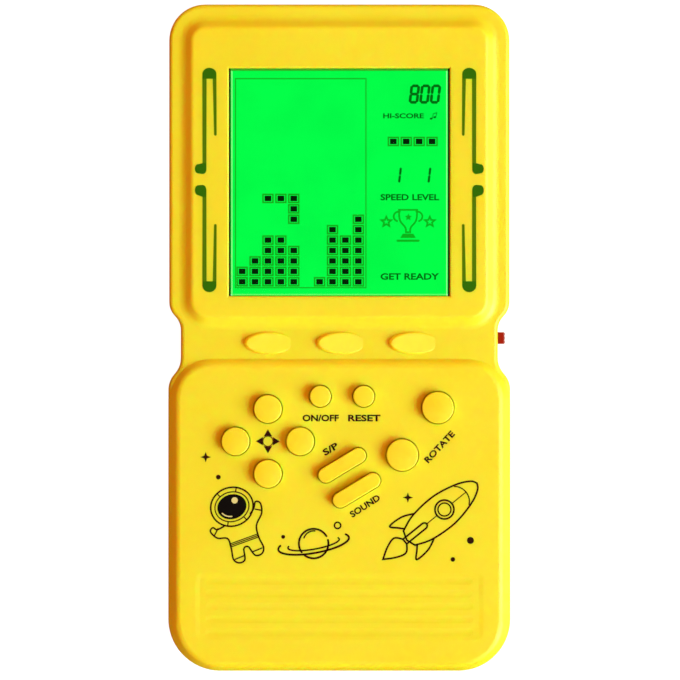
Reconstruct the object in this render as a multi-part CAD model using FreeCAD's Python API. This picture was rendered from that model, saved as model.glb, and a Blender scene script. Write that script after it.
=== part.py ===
# Handheld LCD game. A two-half plastic case holds a screen under a raised panel at one
# end and a keypad under a raised panel at the other, with a narrower neck between them.
# Two AA cells lie in the lower end of the back, behind a cover that slides off.
#
# Millimetres. +X is right, +Y is towards the screen end and +Z is out of the face. The
# back lies on z = 0, and the origin is under the middle of the case.
import FreeCAD, Part
import math
import os

Vector = FreeCAD.Vector

# ---- case outline, seen from the front ----
LENGTH = 190.0
UPPER_HALF = 48.5            # half width round the screen
LOWER_HALF = 48.75           # half width round the keypad
NECK_HALF = 45.2
TOP_CORNER = 10.25
BOTTOM_CORNER = 14.8
NECK_TOP_Y = 2.1             # the neck is straight between these two heights
NECK_BOTTOM_Y = -5.8
UPPER_BEND_Y = 10.1          # where the upper sides start to draw in
LOWER_BEND_Y = -14.9         # where the lower sides are back at full width

# ---- heights through the case ----
WALL = 2.0
PARTING_Z = 11.0             # top of the rear shell's wall
RIM_Z = 20.0                 # top of the rim and the neck
PANEL_Z = 22.0               # top of the two raised panels
SEAM = 0.15                  # shadow gap between the shells
LIP_THICK = 0.9              # the rear shell's lip, inside the front shell's wall
LIP_HEIGHT = 1.1
BACK_ROUND = 2.5
RIM_ROUND = 1.2
SLOPE_WALL = 4.2             # from a panel's foot in to the pocket under it
CEILING_RIM = RIM_Z - WALL
CEILING_PANEL = PANEL_Z - WALL

# ---- raised panels, measured at the foot of their slopes ----
# "slope" is the slope's width at the sides and at the ends, "crown" the round at its top, and
# "sunk" how far its foot is below the rim. Corners are top, then bottom. The keypad panel's foot
# is in the case's side.
SCREEN_PANEL = {"half": 44.5, "y": (3.2, 90.8), "corners": (6.5, 7.5),
                "slope": (2.6, 2.6), "crown": 1.8, "sunk": 0.0}
SCREEN_COVE = 3.4            # concave round at the screen panel's foot
KEY_PANEL = {"half": LOWER_HALF, "y": (-LENGTH / 2, -5.9), "corners": (12.0, BOTTOM_CORNER),
             "slope": (2.8, 1.6), "crown": 2.2, "sunk": 0.4}
KEY_SHOULDER = 0.8           # round where the keypad panel's slope meets the case's side

# ---- screen ----
WINDOW_HALF = 31.4
WINDOW_Y = (11.8, 76.6)
WINDOW_ROUND = 0.5
LENS_SIDE_GAP = 0.4
LENS_END_GAP = 0.12
LENS_TOP_Z = 21.75
LENS_FLANGE_Z = (18.8, 19.8)
LENS_FLANGE_HALF = 34.6
LENS_FLANGE_Y = (8.6, 79.8)
LENS_BEVEL = 0.35
GLASS_HALF = 35.0
GLASS_Y = (8.6, 80.0)
REAR_GLASS_Y = 12.1          # the rear pane stops here and leaves a contact ledge
GLASS_Z = (16.15, 17.25, 18.35)
POLARIZER_THICK = 0.2
FRONT_FILM_Y = (10.2, 79.4)
FILM_GAP = 0.05              # between the light guide and the rear film
GUIDE_HALF = 33.4
GUIDE_Y = (12.5, 79.0)
GUIDE_Z = (14.05, 15.85)
REFLECTOR_Z = (13.85, 14.0)
LED_SIZE = (3.5, 1.3, 1.5)
LED_PITCH = 20.0
FRAME_HALF = 37.0
FRAME_Y = (7.5, 82.3)
FRAME_Z = (13.8, 18.5)
FRAME_LEDGE_Z = 16.1
ZEBRA_HALF = 30.0
ZEBRA_Y = (9.0, 11.4)

# ---- main board ----
BOARD_Z = (12.2, 13.8)
BOARD_HALF = 37.2
BOARD_Y = (-51.0, 88.5)
BOARD_TAB = (42.6, -8.0, 6.0)          # right edge carries the slide switch
BOARD_POSTS = [(sx * 33.0, y) for y in (85.6, 2.2, -47.6) for sx in (-1, 1)]
POST_R = 2.2
BOARD_SCREW = {"shank": 0.95, "pilot": 0.8, "head": 1.9, "tall": 1.2, "long": 4.6}

# ---- case screws ----
CASE_BOSSES = [(sx * x, y) for x, y in ((40.5, 87.0), (40.8, 12.0), (40.5, -80.0)) for sx in (-1, 1)]
CASE_SCREW = {"shank": 1.15, "pilot": 1.0, "head": 2.2, "tall": 1.6, "long": 9.8}
SCREW_SEAT_Z = 6.6
WELL_R = 2.6
REAR_BOSS_R = 3.7
FRONT_BOSS_R = 3.0

# ---- buttons ----
DPAD_CENTRE = (-20.3, -29.5)
DPAD_REACH = 9.2
DPAD_RADIUS = 3.95
ROUND_BUTTONS = {
    "up": (DPAD_CENTRE[0], DPAD_CENTRE[1] + DPAD_REACH, DPAD_RADIUS),
    "down": (DPAD_CENTRE[0], DPAD_CENTRE[1] - DPAD_REACH, DPAD_RADIUS),
    "left": (DPAD_CENTRE[0] - DPAD_REACH, DPAD_CENTRE[1], DPAD_RADIUS),
    "right": (DPAD_CENTRE[0] + DPAD_REACH, DPAD_CENTRE[1], DPAD_RADIUS),
    "on_off": (-5.4, -16.7, 3.0),
    "reset": (6.95, -16.7, 3.0),
    "rotate_upper": (28.0, -19.9, 4.5),
    "rotate_lower": (17.9, -33.4, 4.5),
}
PILL_BUTTONS = {"start": (0.8, -36.3), "sound": (4.9, -43.4)}
PILL_LENGTH = 15.1
PILL_WIDTH = 4.3
PILL_TILT = 31.0
CAP_GAP = 0.3
CAP_FLANGE = 1.0
CAP_FLANGE_Z = (18.7, 19.9)
CAP_TOP_Z = 24.6
CAP_ROUND = 0.3
CAP_CROWN = 32.0             # radius of the domed top
PILL_CROWN = 90.0

# ---- rubber keypad ----
WEB_Z = (13.8, 14.8)
WEB = (-35.2, 35.2, -49.0, -11.6)
DOME_TOP_Z = 18.65
DOME_FOOT_R = 3.7
DOME_HEAD_R = 2.5
DOME_SKIN = 0.6
DOME_CAVITY_Z = 16.7
PLUNGER_R = 2.0
CARBON_Z = (15.04, 15.44)
PLUNGER_Z = 15.46

# ---- moulded details of the face ----
OVAL_CENTRES = (-20.2, 0.4, 21.0)
OVAL_Y = -1.6
OVAL_HALF = (7.0, 3.3)
OVAL_HIGH = 1.75             # the left end stands this high
OVAL_LOW = -0.2              # and the right end sinks this far under the rim
OVAL_ROOT = 1.2              # depth inside the rim
OVAL_LEAN = 0.45             # its sides lean in by this much for each millimetre up
OVAL_ROUND = 0.45
GRIP_HALF = 41.0
GRIP_Y = (-86.0, -67.0)
GRIP_CORNER = 2.0
GRIP_DEPTH = 0.1
GRIP_SLOPE = 1.3
GROOVE_COUNT = 5
GROOVE_PITCH = 3.65
GROOVE_HALF = 37.0
GROOVE_WIDTH = 2.2
GROOVE_DEPTH = 0.1           # below the recess's floor

# ---- batteries and their bay ----
CELL_R = 7.25
CELL_LENGTH = 50.5
CELL_NUB = (2.75, 1.2)
CELL_Z = 10.7
CELL_PITCH = 15.2
BAY_HALF = 28.6
BAY_Y = (-88.3, -56.3)
BAY_CEILING_Z = 18.1
BAY_WALL = 1.3
BAY_CENTRE_Y = sum(BAY_Y) / 2
TRACK_Z = 3.5                # ceiling of the channel the cover's flanges run in
TRACK_SIDE = 2.8             # the channel is this much wider than the bay, each side
CONTACT_THICK = 0.4
CONTACT_SIZE = (12.0, 11.0)
CONTACT_LIFT = 0.2           # between a contact and the bay's end wall
SPRING_WIRE = 0.4
SPRING_TURNS = 3
SPRING_R = (4.4, 2.6)
SPRING_GAP = 0.02
TAB_Z = (13.2, 14.4)

# ---- battery cover ----
COVER_HALF = BAY_HALF + 0.75
COVER_GAP = 0.25
COVER_FRONT_Y = -53.6
COVER_FLANGE_Z = (2.2, 3.2)
COVER_FLANGE = 1.7
COVER_LIP_HALF = COVER_HALF + 1.9
COVER_LIP_Z = 8.0
TONGUE_HALF = 8.0
TONGUE_REACH = 1.8
GROOVES = {"count": 5, "pitch": 2.4, "half": 9.0, "wide": 1.0, "deep": 0.5, "first_y": -60.0}

# ---- slide switch ----
KNOB = {"x": (39.4, 47.6), "y": (-1.85, 1.56), "z": (8.7, 10.7)}
KNOB_BLOCK = {"x": (39.0, 41.9), "y": (-2.6, 2.3), "z": (8.5, 11.2)}
KNOB_ROUND = 0.4
KNOB_GROOVE = {"deep": 0.12, "half": 0.15, "offset": 0.6}
KNOB_TRAVEL = 2.0
KNOB_GAP = 0.3
SWITCH_CAN = {"x": (37.6, 42.7), "y": (-7.0, 4.6), "z": (7.7, 12.2)}
SWITCH_SHEET = 0.5

# ---- sounder ----
SOUNDER = (0.0, 50.0)
BRASS_R = 13.5
BRASS_Z = (2.7, 2.9)
CERAMIC_R = 9.0
CERAMIC_THICK = 0.2
SOUNDER_RING = (12.6, 15.0)            # ledge radius, outer radius
SOUND_HOLE_R = 0.8
SOUND_HOLE_CIRCLE = 5.0

# ---- parts on the back of the board, which hang down from it ----
CHIP = {"at": (0.0, 26.0), "radius": 7.0, "rise": 1.8}
CAPACITOR = {"at": (20.0, 8.0), "radius": 2.5, "tall": 6.2, "round": 0.5}
TRANSISTOR = {"at": (14.0, 36.0), "radius": 2.3, "flat": 1.1, "tall": 4.8}
RESISTORS = {"count": 8, "first_x": -20.0, "pitch": 4.0, "y": 10.0, "size": (2.0, 1.25, 0.6)}

# ---- wires ----
WIRE_R = 0.45
WIRE_BEND = 1.8
TAB_REACH = 1.4              # a solder tab sticks out this far from the bay's wall
PLUS_WIRE = {"out": 3.0, "up": 9.0, "z": 8.0, "end": (26.0, -45.0)}
MINUS_WIRE = {"out": 4.6, "up": 19.2, "z": 6.5, "end": (22.0, -42.0)}
INNER_WIRE = {"start": 4.0, "z": 7.0, "end": 10.0}
OUTER_WIRE = {"start": 11.0, "z": 8.0, "end": 14.0}
SOUNDER_WIRE_DROP = 8.0


# ---- building blocks ----
def box(x, y, z):
    """A box from three (low, high) pairs."""
    size = [pair[1] - pair[0] for pair in (x, y, z)]
    return Part.makeBox(*size, Vector(x[0], y[0], z[0]))


def disc(x, y, radius, z):
    """An upright cylinder between the two heights in z."""
    return Part.makeCylinder(radius, z[1] - z[0], Vector(x, y, z[0]))


def on_circle(cx, cy, radius, degrees, z):
    angle = math.radians(degrees)
    return Vector(cx + radius * math.cos(angle), cy + radius * math.sin(angle), z)


def closed_wire(arcs, z):
    """A loop through arcs (cx, cy, radius, start, end), joined by straight lines."""
    edges = []
    first = last = None
    for cx, cy, radius, start, end in arcs:
        points = [on_circle(cx, cy, radius, a, z) for a in (start, (start + end) / 2, end)]
        if last is not None and last.distanceToPoint(points[0]) > 1e-6:
            edges.append(Part.LineSegment(last, points[0]).toShape())
        edges.append(Part.Arc(*points).toShape())
        first = first or points[0]
        last = points[2]
    if last.distanceToPoint(first) > 1e-6:
        edges.append(Part.LineSegment(last, first).toShape())
    return Part.Wire(edges)


def prism(wire, height):
    return Part.Face(wire).extrude(Vector(0, 0, height))


def union(shapes):
    return shapes[0].multiFuse(shapes[1:]).removeSplitter() if len(shapes) > 1 else shapes[0]


def level_edges(shape, z, wanted=lambda bounds: True):
    """The edges that lie flat at height z and whose bounding box is wanted."""
    flat = [e for e in shape.Edges if abs(e.BoundBox.ZMin - z) < 1e-3 and abs(e.BoundBox.ZMax - z) < 1e-3]
    return [e for e in flat if wanted(e.BoundBox)]


def rectangle_arcs(x, y, top, bottom):
    """Corner arcs of a rectangle, with one radius for its top and one for its bottom."""
    return [
        (x[1] - top, y[1] - top, top, 90, 0),
        (x[1] - bottom, y[0] + bottom, bottom, 0, -90),
        (x[0] + bottom, y[0] + bottom, bottom, -90, -180),
        (x[0] + top, y[1] - top, top, 180, 90),
    ]


def rounded_rectangle(x, y, top, bottom, z):
    return closed_wire(rectangle_arcs(x, y, top, bottom), z)


def rounded_plate(x, y, corner, z):
    return prism(rounded_rectangle(x, y, corner, corner, z[0]), z[1] - z[0])


def bend(offset, rise):
    """Radius and angle of the two equal arcs that shift a side by offset over rise."""
    radius = (rise ** 2 + offset ** 2) / (4 * offset)
    return radius, math.degrees(math.asin(rise / 2 / radius))


def case_outline(inset, z):
    """The case's outline, drawn in by inset, as a loop at height z."""
    upper_r, upper_turn = bend(UPPER_HALF - NECK_HALF, UPPER_BEND_Y - NECK_TOP_Y)
    lower_r, lower_turn = bend(LOWER_HALF - NECK_HALF, NECK_BOTTOM_Y - LOWER_BEND_Y)
    half = LENGTH / 2
    right = [
        (UPPER_HALF - TOP_CORNER, half - TOP_CORNER, TOP_CORNER - inset, 90, 0),
        (UPPER_HALF - upper_r, UPPER_BEND_Y, upper_r - inset, 0, -upper_turn),
        (NECK_HALF + upper_r, NECK_TOP_Y, upper_r + inset, 180 - upper_turn, 180),
        (NECK_HALF + lower_r, NECK_BOTTOM_Y, lower_r + inset, 180, 180 + lower_turn),
        (LOWER_HALF - lower_r, LOWER_BEND_Y, lower_r - inset, lower_turn, 0),
        (LOWER_HALF - BOTTOM_CORNER, BOTTOM_CORNER - half, BOTTOM_CORNER - inset, 0, -90),
    ]
    left = [(-cx, cy, r, 180 - end, 180 - start) for cx, cy, r, start, end in reversed(right)]
    return closed_wire(right + left, z)


def panel_outline(panel, inset, z):
    """A raised panel's foot as a loop at height z, drawn in by inset at its sides and ends."""
    side, end = inset
    x = (side - panel["half"], panel["half"] - side)
    y = (panel["y"][0] + end, panel["y"][1] - end)
    top, bottom = (corner - (side + end) / 2 for corner in panel["corners"])
    return rounded_rectangle(x, y, top, bottom, z)


def raised_panel(panel):
    """A low plateau with sloping sides and a rounded top edge, standing on the rim."""
    base = PARTING_Z + SEAM
    foot_z = RIM_Z - panel["sunk"]
    stem = prism(panel_outline(panel, (0, 0), base), foot_z - base)
    loops = [panel_outline(panel, (0, 0), foot_z), panel_outline(panel, panel["slope"], PANEL_Z)]
    plateau = union([stem, Part.makeLoft(loops, True, True)])
    return plateau.makeFillet(panel["crown"], level_edges(plateau, PANEL_Z))


def panel_pocket(panel):
    """The room under a raised panel, between the rim's ceiling and the panel's."""
    floor_z = CEILING_RIM - 1
    return prism(panel_outline(panel, (SLOPE_WALL, SLOPE_WALL), floor_z), CEILING_PANEL - floor_z)


def screw(x, y, sizes, seat_z):
    """A pan head below seat_z, with its shank pointing up and a cross recess."""
    head = disc(x, y, sizes["head"], (seat_z - sizes["tall"], seat_z))
    under = level_edges(head, seat_z - sizes["tall"])
    head = head.makeFillet(sizes["tall"] * 0.45, under)
    shank = disc(x, y, sizes["shank"], (seat_z, seat_z + sizes["long"]))
    arm = sizes["head"] * 0.5
    slot = sizes["head"] * 0.13
    depth = (seat_z - sizes["tall"], seat_z - sizes["tall"] * 0.45)
    cross = [
        box((x - arm, x + arm), (y - slot, y + slot), depth),
        box((x - slot, x + slot), (y - arm, y + arm), depth),
    ]
    return head.fuse(shank).removeSplitter().cut(cross)


def bent_tube(points, radius, corner):
    """A round tube along straight runs whose corners are tangent arcs."""
    edges = []
    last = points[0]
    for before, here, after in zip(points, points[1:], points[2:]):
        into = (before - here).normalize()
        out = (after - here).normalize()
        half_turn = into.getAngle(out) / 2
        reach = corner / math.tan(half_turn)
        start = here + into * reach
        end = here + out * reach
        bisector = (into + out).normalize()
        middle = here + bisector * (corner / math.sin(half_turn) - corner)
        edges.append(Part.LineSegment(last, start).toShape())
        edges.append(Part.Arc(start, middle, end).toShape())
        last = end
    edges.append(Part.LineSegment(last, points[-1]).toShape())
    ring = Part.Wire(Part.makeCircle(radius, points[0], points[1] - points[0]))
    return Part.Wire(edges).makePipeShell([ring], True, True)


# ---- button footprints ----
def pill_arcs(x, y, grow):
    """Footprint of a tilted pill button, made larger by grow all round."""
    radius = PILL_WIDTH / 2 + grow
    reach = (PILL_LENGTH - PILL_WIDTH) / 2
    tilt = math.radians(PILL_TILT)
    dx, dy = reach * math.cos(tilt), reach * math.sin(tilt)
    return [
        (x + dx, y + dy, radius, PILL_TILT + 90, PILL_TILT - 90),
        (x - dx, y - dy, radius, PILL_TILT - 90, PILL_TILT - 270),
    ]


def button_prism(name, grow, z):
    """The footprint of a button, made larger by grow, between the two heights in z."""
    if name in ROUND_BUTTONS:
        x, y, radius = ROUND_BUTTONS[name]
        return disc(x, y, radius + grow, z)
    return prism(closed_wire(pill_arcs(*PILL_BUTTONS[name], grow), z[0]), z[1] - z[0])


def button_centre(name):
    return (ROUND_BUTTONS[name] if name in ROUND_BUTTONS else PILL_BUTTONS[name])[:2]


BUTTON_NAMES = list(ROUND_BUTTONS) + list(PILL_BUTTONS)


def button_cap(name):
    """A cap with a domed top, held under the face by a flange."""
    x, y = button_centre(name)
    crown = CAP_CROWN if name in ROUND_BUTTONS else PILL_CROWN
    stem = button_prism(name, 0, (CAP_FLANGE_Z[0], CAP_TOP_Z))
    stem = stem.common(Part.makeSphere(crown, Vector(x, y, CAP_TOP_Z - crown)))
    rim = [e for e in stem.Edges if e.BoundBox.ZMin > CAP_TOP_Z - 1.5]
    stem = stem.makeFillet(CAP_ROUND, rim)
    return stem.fuse(button_prism(name, CAP_FLANGE, CAP_FLANGE_Z)).removeSplitter()


def keypad_dome(name):
    """A hollow rubber dome with a plunger inside, as (outside, hollow)."""
    x, y = button_centre(name)
    rise = DOME_TOP_Z - WEB_Z[1]
    outside = Part.makeCone(DOME_FOOT_R, DOME_HEAD_R, rise, Vector(x, y, WEB_Z[1]))
    hollow_rise = DOME_CAVITY_Z - WEB_Z[0]
    hollow = Part.makeCone(
        DOME_FOOT_R - DOME_SKIN, PLUNGER_R + 0.3, hollow_rise, Vector(x, y, WEB_Z[0])
    )
    return outside, hollow.cut(disc(x, y, PLUNGER_R, (PLUNGER_Z, DOME_CAVITY_Z)))


def keypad_membrane():
    """One rubber sheet with a dome under every button."""
    sheet = rounded_plate(WEB[:2], WEB[2:], 3.0, WEB_Z)
    domes, hollows = zip(*(keypad_dome(name) for name in BUTTON_NAMES))
    posts = [disc(x, y, POST_R + 0.4, WEB_Z) for x, y in BOARD_POSTS]
    return union([sheet, *domes]).cut(list(hollows) + posts)


def carbon_pill(name):
    return disc(*button_centre(name), PLUNGER_R, CARBON_Z)


# ---- front shell ----
def oval_bump(x):
    """A moulded oval with leaning sides, whose top slopes from a high left end to the right."""
    loops = []
    for rise in (-OVAL_ROOT, OVAL_HIGH + 1):
        half_x, half_y = (half - OVAL_LEAN * rise for half in OVAL_HALF)
        ellipse = Part.Ellipse(Vector(x, OVAL_Y, RIM_Z + rise), half_x, half_y)
        loops.append(Part.Wire(ellipse.toShape()))
    half_x, half_y = (half + 1 for half in OVAL_HALF)
    over = [
        Vector(x - half_x, OVAL_Y - half_y, RIM_Z + OVAL_HIGH),
        Vector(x + half_x, OVAL_Y - half_y, RIM_Z + OVAL_LOW),
        Vector(x + half_x, OVAL_Y - half_y, RIM_Z + OVAL_HIGH + 2),
        Vector(x - half_x, OVAL_Y - half_y, RIM_Z + OVAL_HIGH + 2),
    ]
    wedge = Part.Face(Part.makePolygon(over + over[:1])).extrude(Vector(0, 2 * half_y, 0))
    oval = Part.makeLoft(loops, True, True).cut(wedge)
    top = [e for e in oval.Edges if e.BoundBox.ZLength > 0.1 and e.BoundBox.XLength > OVAL_HALF[0]]
    return oval.makeFillet(OVAL_ROUND, top)


def grip_recess():
    """What is cut away for the thumb grip: a shallow sloped recess with grooves across its floor."""
    wires = []
    for grow, z in ((0, PANEL_Z), (-GRIP_SLOPE, PANEL_Z - GRIP_DEPTH)):
        x = (-GRIP_HALF - grow, GRIP_HALF + grow)
        y = (GRIP_Y[0] - grow, GRIP_Y[1] + grow)
        wires.append(rounded_rectangle(x, y, GRIP_CORNER + grow, GRIP_CORNER + grow, z))
    floor_z = PANEL_Z - GRIP_DEPTH
    radius = (GROOVE_WIDTH ** 2 / 4 + GROOVE_DEPTH ** 2) / (2 * GROOVE_DEPTH)
    middle_y = sum(GRIP_Y) / 2
    reach = GROOVE_HALF + GROOVE_WIDTH
    grooves = []
    for step in range(GROOVE_COUNT):
        y = middle_y + (step - (GROOVE_COUNT - 1) / 2) * GROOVE_PITCH
        ends = [Vector(x, y, floor_z - GROOVE_DEPTH + radius) for x in (-GROOVE_HALF, GROOVE_HALF)]
        bar = Part.makeCylinder(radius, 2 * GROOVE_HALF, ends[0], Vector(1, 0, 0))
        bar = union([bar] + [Part.makeSphere(radius, end) for end in ends])
        deep = (floor_z - GROOVE_DEPTH - 0.1, floor_z + GRIP_DEPTH / 2)
        grooves.append(bar.common(box((-reach, reach), (y - GROOVE_PITCH / 2, y + GROOVE_PITCH / 2), deep)))
    return union([Part.makeLoft(wires, True, True)] + grooves)


def front_outside():
    """The front half's outer form, solid all the way through."""
    plinth = prism(case_outline(0, PARTING_Z + SEAM), RIM_Z - PARTING_Z - SEAM)
    plinth = plinth.makeFillet(RIM_ROUND, level_edges(plinth, RIM_Z))
    keys = raised_panel(KEY_PANEL)
    keys = keys.makeFillet(KEY_SHOULDER, level_edges(keys, RIM_Z - KEY_PANEL["sunk"]))
    body = union([plinth, raised_panel(SCREEN_PANEL), keys])
    half = SCREEN_PANEL["half"] + 0.1
    low, high = SCREEN_PANEL["y"]

    def at_screen_foot(bounds):
        across = bounds.XMax < half and bounds.XMin > -half
        return across and bounds.YMin > low - 0.1 and bounds.YMax < high + 0.1

    return body.makeFillet(SCREEN_COVE, level_edges(body, RIM_Z, at_screen_foot))


def front_shell():
    """Face of the case: raised panels, window, button holes, bosses and posts."""
    base = PARTING_Z + SEAM
    step = 0.1
    lip_room = case_outline(WALL - LIP_THICK - step, base)
    hollow = [
        prism(case_outline(WALL, base), CEILING_RIM - base),
        prism(lip_room, LIP_HEIGHT - SEAM + step),
        panel_pocket(SCREEN_PANEL),
        panel_pocket(KEY_PANEL),
    ]
    outside = front_outside()
    shell = outside.cut(hollow)
    shell = union([shell] + [oval_bump(x) for x in OVAL_CENTRES])
    shell = shell.cut(grip_recess())
    top = CEILING_PANEL + 0.5
    posts = [disc(x, y, POST_R, (BOARD_Z[1], top)).common(outside) for x, y in BOARD_POSTS]
    bosses = [disc(x, y, FRONT_BOSS_R, (base, top)).common(outside) for x, y in CASE_BOSSES]
    shell = union([shell] + posts + bosses)
    board_pilot = (BOARD_Z[1], BOARD_Z[1] + BOARD_SCREW["long"] - 1.0)
    case_pilot = (base, SCREW_SEAT_Z + CASE_SCREW["long"] + 0.6)
    holes = [button_prism(name, CAP_GAP, (CEILING_RIM, CAP_TOP_Z)) for name in BUTTON_NAMES]
    holes += [disc(x, y, BOARD_SCREW["pilot"], board_pilot) for x, y in BOARD_POSTS]
    holes += [disc(x, y, CASE_SCREW["pilot"], case_pilot) for x, y in CASE_BOSSES]
    holes.append(box((-WINDOW_HALF, WINDOW_HALF), WINDOW_Y, (CEILING_RIM, PANEL_Z)))
    shell = shell.cut(holes)

    def at_window(bounds):
        inside_x = abs(bounds.XMin) < WINDOW_HALF + 0.01 and abs(bounds.XMax) < WINDOW_HALF + 0.01
        return inside_x and bounds.YMin > WINDOW_Y[0] - 0.01 and bounds.YMax < WINDOW_Y[1] + 0.01

    return shell.makeFillet(WINDOW_ROUND, level_edges(shell, PANEL_Z, at_window))


# ---- rear shell and battery cover ----
def rear_outside():
    block = prism(case_outline(0, 0), PARTING_Z)
    return block.makeFillet(BACK_ROUND, level_edges(block, 0))


def sounder_holes():
    """Seven small holes in the back under the sounder."""
    x, y = SOUNDER
    spots = [Vector(x, y, 0)] + [on_circle(x, y, SOUND_HOLE_CIRCLE, 60 * n, 0) for n in range(6)]
    return [disc(spot.x, spot.y, SOUND_HOLE_R, (0, WALL)) for spot in spots]


def sounder_ring():
    """The ring that holds the sounder's rim clear of the back, and keeps it in place."""
    x, y = SOUNDER
    ledge, outer = SOUNDER_RING
    ring = disc(x, y, outer, (WALL, BRASS_Z[1] + 0.5))
    seat = disc(x, y, BRASS_R + 0.2, (BRASS_Z[0], BRASS_Z[1] + 0.5))
    return ring.cut([seat, disc(x, y, ledge, (WALL, BRASS_Z[0]))])


def battery_bay():
    """The bay's walls and the cover's track, as (solid, hollow)."""
    track_half = BAY_HALF + TRACK_SIDE
    end_y = BAY_Y[0] - BAY_WALL
    front_y = COVER_FRONT_Y + TONGUE_REACH + 0.6
    outer_half = BAY_HALF + BAY_WALL
    solid = [
        box((-track_half - BAY_WALL, track_half + BAY_WALL), (-LENGTH / 2 + WALL, front_y + BAY_WALL),
            (WALL, TRACK_Z + BAY_WALL)),
        box((-outer_half, outer_half), (end_y, BAY_Y[1] + BAY_WALL), (WALL, BAY_CEILING_Z + BAY_WALL)),
    ]
    opening_half = COVER_HALF + COVER_GAP
    lip_half = COVER_LIP_HALF + COVER_GAP
    hollow = [
        box((-track_half, track_half), (-LENGTH / 2, front_y), (WALL, TRACK_Z)),
        box((-BAY_HALF, BAY_HALF), BAY_Y, (WALL, BAY_CEILING_Z)),
        box((-opening_half, opening_half), (-LENGTH / 2, COVER_FRONT_Y + COVER_GAP), (0, WALL)),
        box((-lip_half, lip_half), (-LENGTH / 2, -LENGTH / 2 + WALL + 0.2), (0, COVER_LIP_Z + COVER_GAP)),
    ]
    return solid, hollow


def switch_slot():
    """Room for the switch's knob and its travel, open to the joint between the shells."""
    y = (KNOB["y"][0] - KNOB_TRAVEL - KNOB_GAP, KNOB["y"][1] + KNOB_GAP)
    z = (KNOB["z"][0] - KNOB_GAP, PARTING_Z + LIP_HEIGHT)
    return box((NECK_HALF - WALL - 0.5, NECK_HALF + 0.5), y, z)


def rear_shell():
    """Back of the case: battery bay, screw wells, sounder seat and a lip for the front."""
    lip = prism(case_outline(WALL - LIP_THICK, PARTING_Z), LIP_HEIGHT)
    shell = rear_outside().cut(prism(case_outline(WALL, WALL), PARTING_Z))
    lip = lip.cut(prism(case_outline(WALL, PARTING_Z), LIP_HEIGHT))
    bay, bay_hollow = battery_bay()
    bosses = [disc(x, y, REAR_BOSS_R, (WALL / 2, PARTING_Z)) for x, y in CASE_BOSSES]
    shell = union([shell, lip, sounder_ring()] + bay + bosses)
    cuts = bay_hollow + sounder_holes() + contact_slots() + [switch_slot()]
    cuts += [disc(x, y, WELL_R, (0, SCREW_SEAT_Z)) for x, y in CASE_BOSSES]
    cuts += [disc(x, y, CASE_SCREW["shank"] + 0.15, (SCREW_SEAT_Z, PARTING_Z)) for x, y in CASE_BOSSES]
    return shell.cut(cuts)


def battery_cover():
    """Sliding cover: its end lip is part of the case's end, its flanges run in the track."""
    outside = rear_outside()
    end = -LENGTH / 2
    plate = outside.common(box((-COVER_HALF, COVER_HALF), (end, COVER_FRONT_Y), (0, WALL)))
    lip = outside.common(box((-COVER_LIP_HALF, COVER_LIP_HALF), (end, end + WALL), (0, COVER_LIP_Z)))
    pieces = [plate, lip]
    for side in (-1, 1):
        rail = sorted((side * (COVER_HALF - 1.5), side * COVER_HALF))
        flange = sorted((side * (COVER_HALF - 1.5), side * (COVER_HALF + COVER_FLANGE)))
        pieces.append(box(rail, (end + WALL, COVER_FRONT_Y), (WALL, COVER_FLANGE_Z[0])))
        pieces.append(box(flange, (end + WALL, COVER_FRONT_Y), COVER_FLANGE_Z))
    tongue_x = (-TONGUE_HALF, TONGUE_HALF)
    root = box(tongue_x, (COVER_FRONT_Y - 2, COVER_FRONT_Y), (WALL, COVER_FLANGE_Z[0]))
    tongue = box(tongue_x, (COVER_FRONT_Y - 2, COVER_FRONT_Y + TONGUE_REACH), COVER_FLANGE_Z)
    cover = union(pieces + [root, tongue])
    grooves = []
    for step in range(GROOVES["count"]):
        y = GROOVES["first_y"] - step * GROOVES["pitch"]
        half = GROOVES["half"]
        grooves.append(box((-half, half), (y - GROOVES["wide"], y), (0, GROOVES["deep"])))
    return cover.cut(grooves)


# ---- batteries and contacts ----
def cell_rows():
    """Each cell's y, and which way its positive end points."""
    return [(BAY_CENTRE_Y + CELL_PITCH / 2, 1), (BAY_CENTRE_Y - CELL_PITCH / 2, -1)]


def contact_face():
    """Distance from the middle to the face of a contact."""
    return BAY_HALF - CONTACT_LIFT - CONTACT_THICK


def aa_cell(y, way):
    """A cell lying along X, its positive nub against a contact at the way end."""
    nub_r, nub_long = CELL_NUB
    tip = way * contact_face()
    shoulder = tip - way * nub_long
    can = Part.makeCylinder(CELL_R, CELL_LENGTH - nub_long, Vector(shoulder, y, CELL_Z), Vector(-way, 0, 0))
    can = can.makeFillet(0.8, [e for e in can.Edges if e.Curve.TypeId == "Part::GeomCircle"])
    nub = Part.makeCylinder(nub_r, nub_long + 0.5, Vector(tip, y, CELL_Z), Vector(-way, 0, 0))
    return can.fuse(nub).removeSplitter()


def contact_plate(y, way):
    """A flat contact standing against the bay's end wall at the way end."""
    x = sorted((way * contact_face(), way * (contact_face() + CONTACT_THICK)))
    wide, tall = CONTACT_SIZE
    return box(x, (y - wide / 2, y + wide / 2), (CELL_Z - tall / 2, CELL_Z + tall / 2))


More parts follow.
